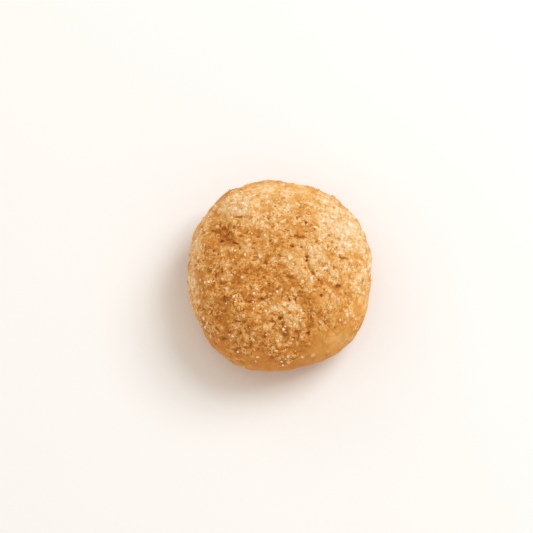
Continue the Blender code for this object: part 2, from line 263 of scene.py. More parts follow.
# Flakes of pale sugar in the camera's pixels: across, down, half length, half width, turn, strength
FLAKES = (
    (241, 213, 8.0, 4.0, 10, 0.9), (246, 204, 5.0, 4.0, -20, 0.9), (214, 206, 3.0, 2.2, 0, 1.0),
    (225, 206, 3.0, 2.2, 0, 1.0), (222, 202, 4.0, 1.6, 30, 0.7), (211, 214, 2.5, 3.0, 0, 0.8),
    (219, 212, 2.5, 2.5, 0, 0.7), (240, 199, 4.0, 1.8, 20, 0.8), (233, 221, 5.0, 2.2, -15, 0.8),
    (243, 223, 5.0, 3.5, -50, 0.7), (204, 218, 6.0, 2.0, 60, 0.7), (265, 225, 6.0, 3.5, -30, 0.7),
    (282, 222, 3.0, 2.0, 0, 0.6), (247, 247, 6.0, 2.5, 0, 0.7), (249, 240, 2.8, 1.8, 30, 0.7),
    (216, 263, 4.0, 3.0, 0, 0.5), (227, 262, 5.0, 3.2, 15, 0.6), (202, 267, 2.5, 4.0, 0, 0.6),
    (264, 203, 3.0, 2.8, 0, 0.7), (259, 216, 2.2, 2.2, 0, 0.7), (266, 213, 2.5, 3.5, 0, 0.6),
    (276, 242, 2.5, 2.2, 0, 0.7), (278, 249, 3.0, 1.8, -15, 0.8), (273, 259, 2.4, 2.4, 0, 0.9),
    (275, 264, 2.4, 2.4, 0, 0.8), (285, 262, 2.8, 2.2, 0, 0.6), (284, 236, 4.0, 3.0, 0, 0.6),
    (230, 279, 5.0, 1.8, 25, 0.7), (208, 276, 3.0, 1.8, -20, 0.7), (197, 293, 3.0, 2.6, 0, 0.8),
    (227, 288, 2.4, 2.2, 0, 0.8), (232, 291, 3.0, 1.8, 20, 0.7), (257, 288, 2.8, 2.4, 0, 0.9),
    (247, 285, 2.5, 4.0, 0, 0.6), (277, 284, 3.2, 2.6, 0, 0.7), (282, 289, 2.6, 1.8, 60, 0.7),
    (244, 304, 4.0, 3.0, -20, 0.7), (235, 304, 3.0, 3.0, 0, 0.5), (237, 316, 4.0, 3.0, 0, 0.5),
    (217, 306, 3.5, 3.0, 0, 0.6), (258, 306, 4.0, 2.2, 20, 0.7), (263, 303, 3.0, 2.2, 0, 0.7),
    (274, 308, 4.0, 3.0, 0, 0.9), (281, 309, 3.2, 2.5, -40, 1.0), (284, 303, 4.0, 3.0, 0, 0.7),
    (296, 306, 5.0, 4.0, 0, 0.8), (268, 318, 5.0, 3.0, 0, 0.6), (289, 323, 5.5, 2.8, -62, 1.0),
    (296, 325, 3.0, 3.5, 0, 0.9), (301, 313, 3.0, 3.0, 0, 0.6), (266, 327, 5.0, 2.8, -25, 0.9),
    (272, 331, 4.0, 2.0, -40, 0.8), (279, 336, 3.5, 3.0, 0, 0.9), (253, 333, 2.8, 2.2, 0, 0.8),
    (291, 333, 2.0, 3.0, 0, 0.7), (290, 343, 2.6, 1.8, 0, 0.8), (297, 343, 2.2, 3.0, 0, 0.7),
    (279, 344, 3.2, 2.6, 0, 0.8), (256, 347, 3.5, 3.8, 0, 0.6), (269, 348, 2.8, 2.2, 0, 0.6),
    (283, 352, 4.0, 2.0, 0, 0.5), (309, 343, 2.2, 2.2, 0, 0.6), (313, 355, 3.2, 1.7, 30, 0.8),
    (302, 357, 2.4, 2.2, 0, 0.7), (313, 261, 3.0, 2.2, 0, 0.9), (301, 267, 4.0, 3.0, 0, 0.6),
    (304, 272, 4.0, 2.2, -30, 0.7), (313, 249, 3.2, 2.2, 0, 0.6), (325, 243, 2.2, 2.6, 0, 0.8),
    (328, 262, 3.0, 2.4, 0, 0.7), (345, 263, 5.0, 2.6, -20, 0.8), (343, 272, 3.0, 2.2, 0, 0.7),
    (335, 283, 2.8, 2.6, 0, 0.9), (325, 286, 3.2, 2.2, 0, 0.7), (327, 296, 4.0, 2.2, 75, 0.7),
    (334, 303, 4.0, 2.5, 75, 0.6), (352, 276, 2.4, 2.2, 0, 0.7), (362, 246, 6.0, 3.0, 100, 0.8),
    (362, 253, 3.2, 2.2, -30, 0.9), (352, 226, 6.5, 4.5, 0, 0.9), (344, 227, 3.0, 2.2, 0, 1.0),
    (335, 236, 5.0, 4.0, 60, 0.7), (341, 210, 2.2, 2.4, 0, 0.8), (318, 206, 2.6, 2.6, 0, 0.8),
    (317, 216, 2.6, 2.4, 0, 0.7), (328, 208, 2.4, 3.0, 0, 0.7), (306, 193, 2.2, 4.0, 0, 0.6),
    (323, 197, 2.6, 1.8, 0, 0.9), (310, 282, 3.0, 2.0, -30, 0.6), (360, 300, 5.0, 2.0, 70, 0.8),
    (283, 185, 3.5, 2.5, 0, 0.8), (300, 187, 3.0, 1.6, -15, 0.7),
)

# Seams and folds in the camera's pixels, sunk in and painted dark as painted shade in the folds and under
# flakes: across, down, half length, half width, turn, strength
SEAMS = (
    (222, 241, 3.0, 1.6, 0, 1.0), (229, 240, 3.5, 1.2, 0, 1.0), (235, 243, 3.8, 1.4, -15, 1.0),
    (226, 236, 1.8, 2.4, 0, 1.0), (219, 232, 2.4, 1.6, 20, 1.0), (220, 224, 1.6, 4.5, 0, 0.9),
    (225, 229, 5.0, 2.4, -20, 0.9), (214, 231, 4.0, 2.4, 0, 0.8), (230, 232, 3.0, 1.2, 0, 0.9),
    (240, 236, 2.4, 1.4, 0, 0.9), (235, 227, 3.0, 1.8, 0, 0.8), (240, 217, 7.0, 1.5, -5, 0.9),
    (202, 227, 2.2, 1.4, 30, 0.8), (250, 233, 5.0, 2.6, -10, 0.7), (258, 237, 2.6, 1.6, 0, 0.8),
    (254, 243, 2.0, 1.4, 0, 0.8), (254, 248, 2.2, 1.4, 0, 0.8), (240, 248, 1.4, 2.6, 0, 0.8),
    (258, 196, 2.4, 2.0, 0, 0.7), (300, 236, 7.0, 2.6, -10, 0.9), (306, 222, 1.8, 1.2, 0, 0.9),
    (312, 225, 3.2, 1.2, -30, 0.8), (297, 217, 1.4, 3.2, 0, 0.8), (314, 229, 2.0, 1.2, 0, 0.9),
    (317, 242, 3.4, 1.2, -45, 0.8), (309, 266, 3.2, 1.7, -68, 0.7), (313, 273, 4.4, 1.9, -52, 0.8),
    (319, 280, 4.6, 1.8, -48, 0.7), (338, 286, 3.8, 2.0, 15, 0.9), (334, 267, 1.4, 3.2, 0, 0.9),
    (344, 258, 6.0, 1.6, -15, 0.9), (291, 246, 1.8, 1.4, 0, 1.0), (302, 247, 1.6, 1.4, 0, 0.8),
    (326, 271, 2.6, 1.2, 0, 0.9), (317, 271, 2.0, 1.2, 0, 0.7), (328, 246, 1.4, 3.0, 0, 0.8),
    (336, 248, 3.0, 1.4, 40, 0.7), (266, 263, 3.6, 4.4, 0, 0.8), (265, 277, 4.0, 2.0, 0, 0.9),
    (290, 277, 6.5, 2.0, -15, 0.9), (280, 256, 1.8, 3.6, 0, 0.8), (251, 274, 2.0, 2.4, 0, 0.7),
    (245, 273, 1.4, 1.8, 0, 0.8), (216, 276, 1.4, 4.5, 0, 0.8), (213, 285, 1.3, 4.0, -35, 0.8),
    (222, 273, 3.4, 2.4, 0, 0.7), (224, 283, 5.0, 1.6, 10, 0.7), (209, 272, 4.0, 1.5, 0, 0.6),
    (226, 299, 5.5, 4.0, 0, 0.8), (248, 302, 3.6, 1.2, 0, 1.0), (262, 299, 4.2, 1.2, 8, 1.0),
    (269, 286, 4.0, 1.4, -25, 0.6), (238, 321, 3.4, 1.2, -10, 1.0), (244, 322, 2.2, 1.8, 30, 1.0),
    (243, 310, 3.0, 1.2, 20, 0.8), (223, 339, 4.2, 1.5, 0, 1.0), (230, 332, 2.0, 1.2, 0, 0.9),
    (239, 334, 3.0, 4.0, 0, 0.7), (273, 321, 5.0, 2.2, 0, 0.9), (280, 318, 2.2, 1.6, 0, 1.0),
    (283, 324, 2.0, 3.6, 0, 0.9), (274, 327, 2.4, 3.6, -40, 0.8), (297, 332, 4.6, 2.6, 0, 0.9),
    (285, 334, 2.6, 4.0, 0, 0.9), (293, 338, 2.4, 1.4, 0, 0.9), (308, 333, 2.8, 1.5, 10, 1.0),
    (264, 336, 4.0, 2.0, 0, 0.8), (255, 337, 3.0, 1.4, 0, 0.8), (250, 344, 2.6, 4.4, 0, 0.7),
    (305, 346, 4.0, 1.4, 0, 0.7), (285, 349, 5.0, 1.4, 0, 0.6), (303, 307, 2.0, 5.0, 20, 0.7),
    (311, 318, 1.4, 4.6, 0, 0.8), (313, 325, 1.4, 4.0, 10, 0.7), (310, 306, 1.6, 3.0, 0, 0.7),
    (321, 295, 2.2, 1.6, 0, 0.8), (324, 322, 2.4, 1.2, -50, 0.9), (335, 328, 1.2, 2.8, 0, 0.7),
    (328, 330, 4.6, 1.0, -50, 0.6), (295, 299, 3.2, 1.2, 0, 0.9), (289, 299, 1.2, 2.0, 0, 0.9),
    (278, 312, 1.6, 2.2, 0, 0.6), (250, 288, 1.6, 4.0, 0, 0.6), (206, 331, 2.2, 1.6, 0, 0.7),
)
SEAM_DEPTH = 0.00022

# Marks in the camera's pixels: reach in their own half sizes, and how squarely marked crust faces the camera
MARK_REACH = 2.0
FACING = 0.1

# Bright grains that stand out, the whitest of them painted glints as well as white sugar, in the camera's
# pixels: across, down
BRIGHT_GRAINS = (
    (201, 280), (206, 283), (209, 282), (241, 192), (229, 197), (268, 202), (279, 202), (286, 201),
    (283, 185), (243, 204), (197, 242), (222, 251), (235, 251), (245, 255), (260, 257), (268, 228),
    (265, 235), (232, 275), (222, 279), (193, 290), (234, 297), (254, 293), (277, 292), (253, 302),
    (254, 309), (267, 300), (266, 311), (292, 310), (300, 320), (283, 329), (292, 339), (254, 340),
    (233, 336), (231, 340), (230, 334), (227, 349), (238, 351), (282, 361), (283, 364), (289, 362),
    (286, 359), (288, 356), (302, 356), (258, 357), (244, 366), (208, 322), (202, 324), (206, 327),
    (204, 318), (198, 322), (202, 312), (347, 315), (353, 316), (350, 313), (355, 319), (340, 320),
    (325, 268), (293, 274), (298, 277), (293, 264), (348, 270), (351, 287), (360, 279), (346, 222),
    (339, 228), (342, 239), (345, 244), (352, 235), (340, 201), (329, 196), (317, 199), (319, 192),
    (297, 215), (307, 225), (300, 195), (354, 211), (352, 214), (351, 207), (360, 245), (311, 278),
)
BRIGHT_SIDE = (0.00065, 0.00105)
BRIGHT_SHADE = (0.88, 1.00)
BRIGHT_RISE = 0.05
BRIGHT_TILT = 0.4

# Spacing of the sugar grains in a thick and in a thin coat, and covers from which some and all places count
GRAIN_SPACING = (0.00180, 0.0046)
FINE_SPACING = (0.00165, 0.0042)
LEAST_COVER = 0.03
SURE_COVER = 0.35

# Kinds of sugar grain: side, rise of the middle as a share of the side, tilt in radians, clearest shade
MELTED = ((0.00050, 0.00120), (-0.34, -0.22), 0.3, 1.0)
COARSE = ((0.00050, 0.00090), (-0.42, -0.22), 0.5, 0.8)
FINE = ((0.00030, 0.00065), (-0.30, -0.05), 0.8, 1.0)
MELTED_SHARE = 0.70

# Shapes of the grains, for a longest side of 1
GRAIN_SHAPES = 16
GRAIN_WIDTH = (0.7, 1.0)
BROKEN_THICKNESS = (0.6, 0.9)
BROKEN_SLOPE = (0.4, 1.0)
BROKEN_REACH = (0.42, 0.60)
BROKEN_BEVEL = (0.08, 0.13)
MELTED_THICKNESS = (0.45, 0.7)
MELTED_BLOCKINESS = 3.4
MELTED_WAVES = 1.3
MELTED_UNEVENNESS = 0.35

# Swell of the crust round its grains: height, reach, and a grain's radius as a share of its side
GRAIN_SWELL = 0.00018
GRAIN_SWELL_REACH = 0.00090
GRAIN_HOLD = 0.45

# Colours of crust and sugar alike, on one line from the darkest brown (tone 0), which pits and seams take as
# painted shade, to white sugar (tone 1), which glint spots and the brightest grains also take as painted
# glints
HONEY_LINE = (
    (0.00, (0.140, 0.040, 0.010)),
    (0.20, (0.380, 0.125, 0.026)),
    (0.40, (0.572, 0.228, 0.045)),
    (0.60, (0.705, 0.348, 0.087)),
    (0.75, (0.790, 0.475, 0.180)),
    (0.88, (0.850, 0.610, 0.360)),
    (0.95, (0.873, 0.700, 0.490)),
    (1.00, (0.930, 0.890, 0.820)),
)

# Steps of the crust's and the sugar's colour: tone on the honey line, strength
FOOT = (0.22, 0.35)
# Painted shade where the lumps sink low
PAINTED_LUMP_GAP_SHADE = (0.24, 0.40)
RING_GAPS = (0.20, 0.65)
BROAD_BROWN = (0.24, 0.25)
# Paler glaze, and painted light on the back right and along the left rim
GLAZE_AND_LIGHT = (0.90, 1.0)
CRUST_RINGS = (0.94, 1.0)
# Browner from baking, and painted shade in the deep dimple and on the front left
BROWN_AND_PAINTED_SHADE = (0.24, 1.0)
# Painted glints: sugar pushed to white on the pale zones
PAINTED_GLINTS = (1.00, 1.0)
# Painted shade along the seams and folds
PAINTED_SEAM_SHADE = (0.10, 0.80)
# Painted shade in the hollows and valleys
PAINTED_HOLLOW_SHADE = (0.24, 0.30)
PAINTED_VALLEY_SHADE = (0.24, 0.35)
# Painted shade in the pits
PAINTED_PIT_SHADE = (0.04, 0.85)
SUGAR_RINGS = (0.82, 0.7)
SUGAR_CLUMPS = 0.6
SUGAR_FROST = 0.5
SUGAR_FLAKES = 0.80

# Noise patterns of the finishes: scale, detail, roughness
PATTERNS = {
    "push": (520.0, 2.0, 0.5),
    "threads": (640.0, 2.0, 0.5),
    "clumps": (430.0, 4.0, 0.60),
    "flake edges": (900.0, 4.0, 0.65),
    "seam edges": (1100.0, 4.0, 0.65),
    "speckles": (1500.0, 3.0, 0.6),
    "fine speckles": (2600.0, 3.0, 0.6),
    "bumps": (1200.0, 3.0, 0.55),
    "dough": (380.0, 3.0, 0.5),
    "gaps": (520.0, 2.0, 0.5),
    "broad": (210.0, 3.0, 0.6),
    "mottle": (620.0, 3.0, 0.6),
    "ring patches": (300.0, 2.0, 0.5),
    "thread gaps": (350.0, 3.0, 0.5),
    "crust gloss": (900.0, 3.0, 0.5),
    "sugar gloss": (1500.0, 3.0, 0.5),
}
PUSH = 0.0015
EDGE_RAGGEDNESS = 0.9
FROST_SPREAD = 0.06
SUGAR_SPECKLES = 0.60

# Shares of those patterns: values between which one rises, and the numbers that it then lies between
DOUGH_TONES = (0.36, 0.66, 0.24, 0.35)
GAP_SHARE = (0.40, 0.62)
BROAD_SHARE = (0.40, 0.62)
GLAZE_AND_LIGHT_MOTTLE = (0.60, 0.43, 0.50, 0.93)
BROWN_AND_SHADE_MOTTLE = (0.38, 0.62, 0.25, 0.85)
RING_PATCHES = (0.36, 0.58, 0.35, 1.0)
THREAD_GAPS = (0.38, 0.58, 0.10, 1.0)
CRUST_GLOSS = (0.3, 0.7, 0.46, 0.70)
GLAZED_GLOSS = (0.3, 0.7, 0.40, 0.65)
CLEAR_GLOSS = (0.3, 0.7, 0.15, 0.35)

# Shares of the crust's own numbers, in the same terms
THICK_COAT = (0.02, 0.45)
BARE_PALER = (0.4, 0.0, 0.0, 0.19)
SPECKLES_BY_COAT = (0.0, 0.5, 0.15, 0.38)
FINE_SPECKLES_BY_COAT = (0.0, 0.5, 0.25, 0.55)
BUMPS_BY_COAT = (0.0, 0.5, 0.55, 0.9)
FOOT_HEIGHTS = (0.0110, 0.0005)
LOW_LUMPS = (0.15, -0.75)
SEAM_SHARE = (0.30, 0.85)
HOLLOW_SHARE = (0.0, 1.0)
VALLEY_SHARE = (0.1, 1.0)
GLINTS_BY_PALENESS = (0.0, 0.8, 0.25, 0.95)

# Shares of the lace's own numbers, in the same terms
THREAD_WIDTH = (0.10, 0.02)
NO_RINGS = (0.30, 0.0)
CLUMPS_BY_RINGS = (0.0, 0.6, 0.45, 1.0)
CLUMPS_BY_FROST = (0.0, 0.6, 0.30, 1.0)
FLAKES_BY_RINGS = (0.0, 0.6, 0.50, 0.95)
CLUMP_SHARE = (0.50, 0.60)
FLAKE_SHARE = (0.34, 0.62)
FLAKE_TONES = (0.45, 0.95, 0.78, 0.96)
FROST_TONES = (0.0, 1.0, 0.78, 0.96)

# Rings of melted sugar: scale of their cells, share of cells with one, faintest strength, strength inside
RINGS = {
    "broad": (340.0, 0.80, 0.30, 0.80),
    "medium": (620.0, 0.72, 0.35, 0.25),
    "small": (1050.0, 0.35, 0.40, 0.55),
    # Spots that take painted glints
    "glint": (760.0, 0.22, 0.50, 1.0),
}
RING_RADIUS = (0.34, 0.62)
RING_EDGE = (1.10, 0.88)
RING_INSIDE = (0.45, 0.75)
RING_CHOICE = 0.03
BROAD_RINGS = 0.5

# Finishes of the sugar: name, tones of stained, clear and bright grains, gloss, specular level
GLAZED_SUGAR = ("glazed_sugar", 0.42, 0.66, 0.84, GLAZED_GLOSS, 0.12)
# Clear sugar's bright tone is the white top of the honey line: white sugar and painted glints at once
CLEAR_SUGAR = ("clear_sugar", 0.56, 0.80, 1.00, CLEAR_GLOSS, 0.5)
BRIGHT_ABOVE = 0.84

# Stage
PIXELS = 533
COOKIE_PIXEL = (279.5, 271.5)
CAMERA_ELEVATION = 72.0
CAMERA_DISTANCE = 0.605
LENS = 135.0
SENSOR = 36.0
FLOOR_SIZE = 3.0
FLOOR_COLOUR = (0.93, 0.96, 1.0, 1.0)
SURROUND_COLOUR = (1.0, 0.90, 0.78, 1.0)
SURROUND_STRENGTH = 0.62

# Soft lights: name, direction from the cookie, width, power, colour
LIGHTS = (
    ("key", (0.55, 0.39, 0.737), 0.65, 8.5, (0.97, 0.99, 1.0)),
    ("fill", (-0.92, -0.22, 0.32), 0.8, 1.5, (1.0, 0.76, 0.53)),
    ("rear", (-0.62, 0.70, 0.36), 0.8, 1.5, (1.0, 0.86, 0.68)),
    ("bounce", (0.48, -0.85, 0.20), 0.8, 1.7, (1.0, 0.66, 0.38)),
)
LIGHT_DISTANCE = 1.2
LIGHT_TARGET = (0.0, 0.0, 0.01)


def fade(distance, radius):
    """1 at the middle of a mark, falling smoothly to 0 at its radius."""
    share = np.clip(1.0 - distance / radius, 0.0, 1.0)
    return share * share * (3.0 - 2.0 * share)


def rise(value, low, high):
    """0 below low, 1 above high, and smooth between them."""
    share = np.clip((value - low) / (high - low), 0.0, 1.0)
    return share * share * (3.0 - 2.0 * share)


def noise_at(points, size, offset=(0.0, 0.0, 0.0)):
    """Smooth noise of a given size at each point, about -1 to 1."""
    places = points / size + np.array(offset)
    return np.array([noise.noise(place) for place in places])


def cells_at(points, size):
    """Distance to the nearest cell's middle, in cells, and that cell's own number from -1 to 1."""
    nearest, numbers = [], []
    for place in points / size:
        distances, middles = noise.voronoi(place)
        nearest.append(distances[0])
        numbers.append(noise.cell(middles[0]))
    return np.array(nearest), np.array(numbers)


def rim_distance(x, y):
    """How far out plan points lie: 0 on the axis, 1 on the outline."""
    bearing = np.arctan2(y, x)
    share = 1.0
    for waves, height, crest in OUTLINE_WAVES:
        share = share + height * np.cos(waves * (bearing - math.radians(crest)))
    return np.hypot(x / (WIDTH / 2 * share), y / (DEPTH / 2 * share))


def smooth_form(directions):
    """Points of the cookie without its relief, in directions from the middle of its waist."""
    across = rim_distance(directions[:, 0], directions[:, 1])
    above = directions[:, 2] >= 0.0
    squareness = np.where(above, DOME_SQUARENESS, FOOT_SQUARENESS)
    reach = np.where(above, HEIGHT - WAIST_HEIGHT, FOOT_REACH)
    up = np.abs(directions[:, 2]) / reach
    size = (across**squareness + up**squareness) ** (-1.0 / squareness)
    return directions * size[:, None] + (0.0, 0.0, WAIST_HEIGHT)


def on_dome(x, y):
    """The point of the smooth dome above a plan point."""
    across = min(1.0, float(rim_distance(x, y)))
    up = (1.0 - across**DOME_SQUARENESS) ** (1.0 / DOME_SQUARENESS)
    return np.array((x, y, WAIST_HEIGHT + (HEIGHT - WAIST_HEIGHT) * up))


def camera_frame():
    """The camera's place, and its directions back from the cookie and up in the picture."""
    low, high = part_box("honey_cookie")
    elevation = math.radians(CAMERA_ELEVATION)
    back = Vector((0.0, -math.cos(elevation), math.sin(elevation)))
    up = Vector((0.0, math.sin(elevation), math.cos(elevation)))
    pixel = CAMERA_DISTANCE * SENSOR / LENS / PIXELS
    aside = (COOKIE_PIXEL[0] - PIXELS / 2) * pixel
    below = (COOKIE_PIXEL[1] - PIXELS / 2) * pixel
    place = (low + high) / 2 + back * CAMERA_DISTANCE - Vector((aside, 0.0, 0.0)) + up * below
    return place, back, up


def seen_at(points):
    """The pixels at which the camera sees points of the form, across and down."""
    place, back, up = camera_frame()
    offset = points - (*OUTLINE_MIDDLE, 0.0) - np.array(place)
    scale = LENS / SENSOR * PIXELS / -(offset @ np.array(back))
    return PIXELS / 2 + offset[:, 0] * scale, PIXELS / 2 - offset @ np.array(up) * scale


def distance_to(points, x, y):
    """Distance of each point from the dome's point above a plan place."""
    return np.linalg.norm(points - on_dome(x, y), axis=1)


def distance_to_line(points, plan):
    """Distance of each point from the line on the dome through several plan places."""
    line = [on_dome(x, y) for x, y in plan]
    nearest = np.full(len(points), np.inf)
    for start, end in zip(line, line[1:]):
        along = end - start
        share = np.clip((points - start) @ along / (along @ along), 0.0, 1.0)
        foot = start + share[:, None] * along
        nearest = np.minimum(nearest, np.linalg.norm(points - foot, axis=1))
    return nearest


def dimple_share(points, x, y, half_length, half_width, turn):
    """How deep in a dimple's bowl each point lies, from 0 outside it to 1 at its middle."""
    offset = points - on_dome(x, y)
    angle = math.radians(turn)
    along = offset[:, 0] * math.cos(angle) + offset[:, 1] * math.sin(angle)
    across = np.sqrt(np.maximum(0.0, (offset * offset).sum(1) - along**2))
    return fade(np.hypot(along / half_length, across / half_width), 1.0)


def zones(points, marks):
    """The strongest of several round marks at each point."""
    strongest = np.zeros(len(points))
    for x, y, radius, strength in marks:
        strongest = np.maximum(strongest, strength * spot(points, x, y, radius))
    return np.minimum(strongest, 1.0)


def spot(points, x, y, radius):
    """A round mark over a plan place: 1 at its middle, 0 from its radius on."""
    return fade(distance_to(points, x, y), radius)


def large_relief(points):
    """How far the crust of the solid stands out from the smooth form."""
    height = np.zeros(len(points))
    for size, lift, whole_above in SWELLS:
        height += lift * noise_at(points, size, SWELL_OFFSET) * rise(points[:, 2], 0.0, whole_above)
    for x, y, radius, lift in MOUNDS:
        height += lift * spot(points, x, y, radius)
    for x, y, half_length, half_width, turn, depth in DIMPLES:
        height -= depth * dimple_share(points, x, y, half_length, half_width, turn)
    for width, depth, plan in CREASES:
        height -= depth * fade(distance_to_line(points, plan), width)
    return height


def sugar_cover(points):
    """How thickly sugar coats the crust at each point, from 0 where it is bare to about 1."""
    edge = SUGAR_LINE + SUGAR_LINE_WANDER * noise_at(points, SUGAR_LINE_PATCH)
    cover = np.full(len(points), PLAIN_COVER)
    for x, y, radius, extra in HEAPS:
        cover += extra * spot(points, x, y, radius)
    cover *= rise(points[:, 2], edge - SUGAR_LINE_SOFTNESS, edge + SUGAR_LINE_SOFTNESS)
    for x, y, radius in BARE_PATCHES:
        cover *= 1.0 - spot(points, x, y, radius)
    return cover * (1.0 + CLUSTER_STRENGTH * noise_at(points, CLUSTER_SIZE, CLUSTER_OFFSET))


def warped(points):
    """The points pushed about a little, so that marks made at them have uneven outlines."""
    shift = np.stack([noise_at(points, WARP_SIZE, offset) for offset in WARP_OFFSETS], axis=1)
    return points + WARP * shift


def granules(points, size, share):
    """Uneven round grains under the glaze, in some of the cells of a given size."""
    nearest, number = cells_at(points, size)
    chance = 0.5 + 0.5 * number
    low, high = GRANULE_RADIUS
    radius = low + (high - low) * np.clip(chance / share, 0.0, 1.0)
    return np.where(chance < share, np.clip(1.0 - (nearest / radius) ** 2, 0.0, 1.0), 0.0)


def fine_relief(points, cover, draw):
    """Height of the crust's fine relief, and masks of its sugar coat, lumps, and pits for their painted
    shade.
    """
    coat = np.clip(cover, 0.0, 1.0)
    lumps = np.zeros(len(points))
    for size, lift in LUMPS:
        lumps += lift * noise_at(points, size, LUMP_OFFSET)
    height = lumps * (BARE_RELIEF + (1.0 - BARE_RELIEF) * coat)
    pushed = warped(points)
    for size, lift, share in GRANULES:
        height += lift * granules(pushed, size, share) * coat
    wander = CRACK_WANDER * np.abs(noise_at(points, CRACK_WANDER_SIZE, CRACK_WANDER_OFFSET))
    for _, _, plan in CREASES:
        height -= CRACK_DEPTH * fade(distance_to_line(points, plan) + wander, CRACK_WIDTH)
    pit_shade = np.zeros(len(points))
    for x, y, radius, depth in PITS:
        share = spot(points, x, y, radius)
        height -= depth * share
        pit_shade = np.maximum(pit_shade, share)
    coated = np.nonzero(coat > SCATTERED_PIT_COAT)[0]
    for _ in range(SCATTERED_PITS):
        middle = points[coated[draw.randrange(len(coated))]]
        radius = draw.uniform(*SCATTERED_PIT_RADIUS)
        share = fade(np.linalg.norm(points - middle, axis=1), radius)
        height -= SCATTERED_PIT_DEPTH * radius * share
        pit_shade = np.maximum(pit_shade, SCATTERED_PIT_SHADE * share)
    masks = {"coat": coat, "lump": lumps / LUMPS[0][1], "pit_shade": pit_shade}
    return height * rise(points[:, 2], 0.0, BASE_FADE), masks


def coordinates(mesh):
    """The mesh's vertices as an array."""
    flat = np.empty(len(mesh.vertices) * 3)
    mesh.vertices.foreach_get("co", flat)
    return flat.reshape(-1, 3)


def normals_of(mesh):
    """The mesh's vertex normals as an array."""
    flat = np.empty(len(mesh.vertices) * 3)
    mesh.vertex_normals.foreach_get("vector", flat)
    return flat.reshape(-1, 3)


def reshape(mesh, points):
    """Moves the mesh's vertices to new places."""
    mesh.vertices.foreach_set("co", points.ravel())
    mesh.update()


def add_attribute(mesh, name, values):
    """A number for each vertex, which a material reads by its name."""
    attribute = mesh.attributes.new(name, "FLOAT", "POINT")
    attribute.data.foreach_set("value", values.astype(np.float32))


def hollowness(mesh, rounds):
    """How far each vertex lies below the mean of its neighbours, spread over several rounds."""
    edges = np.empty(len(mesh.edges) * 2, dtype=np.int64)
    mesh.edges.foreach_get("vertices", edges)
    first, second = edges.reshape(-1, 2).T
    points = coordinates(mesh)
    count = np.bincount(np.concatenate((first, second)), minlength=len(points))[:, None]
    smooth = points
    for _ in range(rounds):
        total = np.zeros_like(smooth)
        np.add.at(total, first, smooth[second])
        np.add.at(total, second, smooth[first])
        smooth = total / count
    return ((smooth - points) * normals_of(mesh)).sum(1)


def cut_off(shape, place, outward):
    """Cuts off what lies beyond a plane, and closes the cut."""
    cut = bmesh.ops.bisect_plane(
        shape,
        geom=shape.verts[:] + shape.edges[:] + shape.faces[:],
        plane_co=place,
        plane_no=outward,
        clear_outer=True,
    )
    rim = [item for item in cut["geom_cut"] if isinstance(item, bmesh.types.BMEdge)]
    if rim:
        bmesh.ops.edgeloop_fill(shape, edges=rim)


class Crust:
    """The baked dough: its mesh, its points and normals, its sugar cover, and where the camera sees it."""

    def __init__(self, draw):
        dough = bmesh.new()
        bmesh.ops.create_cube(dough, size=2.0)
        bmesh.ops.subdivide_edges(dough, edges=dough.edges[:], cuts=CELLS - 1, use_grid_fill=True)
        self.mesh = bpy.data.meshes.new("cookie_crust")
        dough.to_mesh(self.mesh)
        dough.free()
        directions = coordinates(self.mesh) + (0.0, 0.0, DOME_FAVOUR)
        form = smooth_form(directions / np.linalg.norm(directions, axis=1)[:, None])
        reshape(self.mesh, form)
        self.cover = sugar_cover(form)
        fine, masks = fine_relief(form, self.cover, draw)
        outward = normals_of(self.mesh)
        plain = form + outward * large_relief(form)[:, None]
        reshape(self.mesh, plain)
        self.normals = normals_of(self.mesh)
        self.across, self.down = seen_at(plain)
        self.facing = self.normals @ np.array(camera_frame()[1]) > FACING
        self.shared = {"flakes": self.marked(FLAKES), "frosted": zones(form, FROSTED)}
        masks.update(self.shared)
        masks["seams"] = self.marked(SEAMS)
        masks["browned_and_shaded"] = zones(form, BROWNED_AND_SHADED)
        masks["glazed_and_lit"] = zones(form, GLAZED_AND_LIT)
        self.points = plain + outward * (fine - SEAM_DEPTH * masks["seams"])[:, None]
        reshape(self.mesh, self.points)
        for name, rounds, depth in HOLLOWS:
            masks[name] = hollowness(self.mesh, rounds) / depth
        for name, values in masks.items():
            add_attribute(self.mesh, name, values)

    def marked(self, marks):
        """How strongly marks cover each vertex: half their strength on their outlines, fading outward."""
        strongest = np.zeros(len(self.across))
        for across, down, half_length, half_width, turn, strength in marks:
            right, below = self.across - across, self.down - down
            angle = math.radians(turn)
            along = (right * math.cos(angle) - below * math.sin(angle)) / half_length
            beside = (right * math.sin(angle) + below * math.cos(angle)) / half_width
            strongest = np.maximum(strongest, strength * fade(np.hypot(along, beside), MARK_REACH))
        return np.where(self.facing, strongest, 0.0)

    def vertex_seen_at(self, across, down):
        """Number of the crust's vertex that the camera sees nearest to a pixel."""
        distance = np.hypot(self.across - across, self.down - down)
        return int(np.argmin(np.where(self.facing, distance, np.inf)))

    def swell_round(self, marks):
        """Lifts the crust a little round its grains, told by place and radius, so that they lie in it."""
        tree = KDTree(len(marks))
        for index, (place, _) in enumerate(marks):
            tree.insert(place, index)
        tree.balance()
        beside = np.zeros(len(self.points))
        for number in np.nonzero(self.cover > 0.0)[0]:
            _, index, distance = tree.find(self.points[number])
            beside[number] = distance - marks[index][1]
        share = np.where(self.cover > 0.0, fade(np.maximum(beside, 0.0), GRAIN_SWELL_REACH), 0.0)
        self.points = self.points + self.normals * (GRAIN_SWELL * share)[:, None]
        reshape(self.mesh, self.points)

    def cut_base(self):
        """Cuts the flat base."""
        dough = bmesh.new()
        dough.from_mesh(self.mesh)
        cut_off(dough, (0.0, 0.0, 0.0), (0.0, 0.0, -1.0))
        bmesh.ops.recalc_face_normals(dough, faces=dough.faces[:])
        dough.to_mesh(self.mesh)
        dough.free()
        self.mesh.shade_smooth()


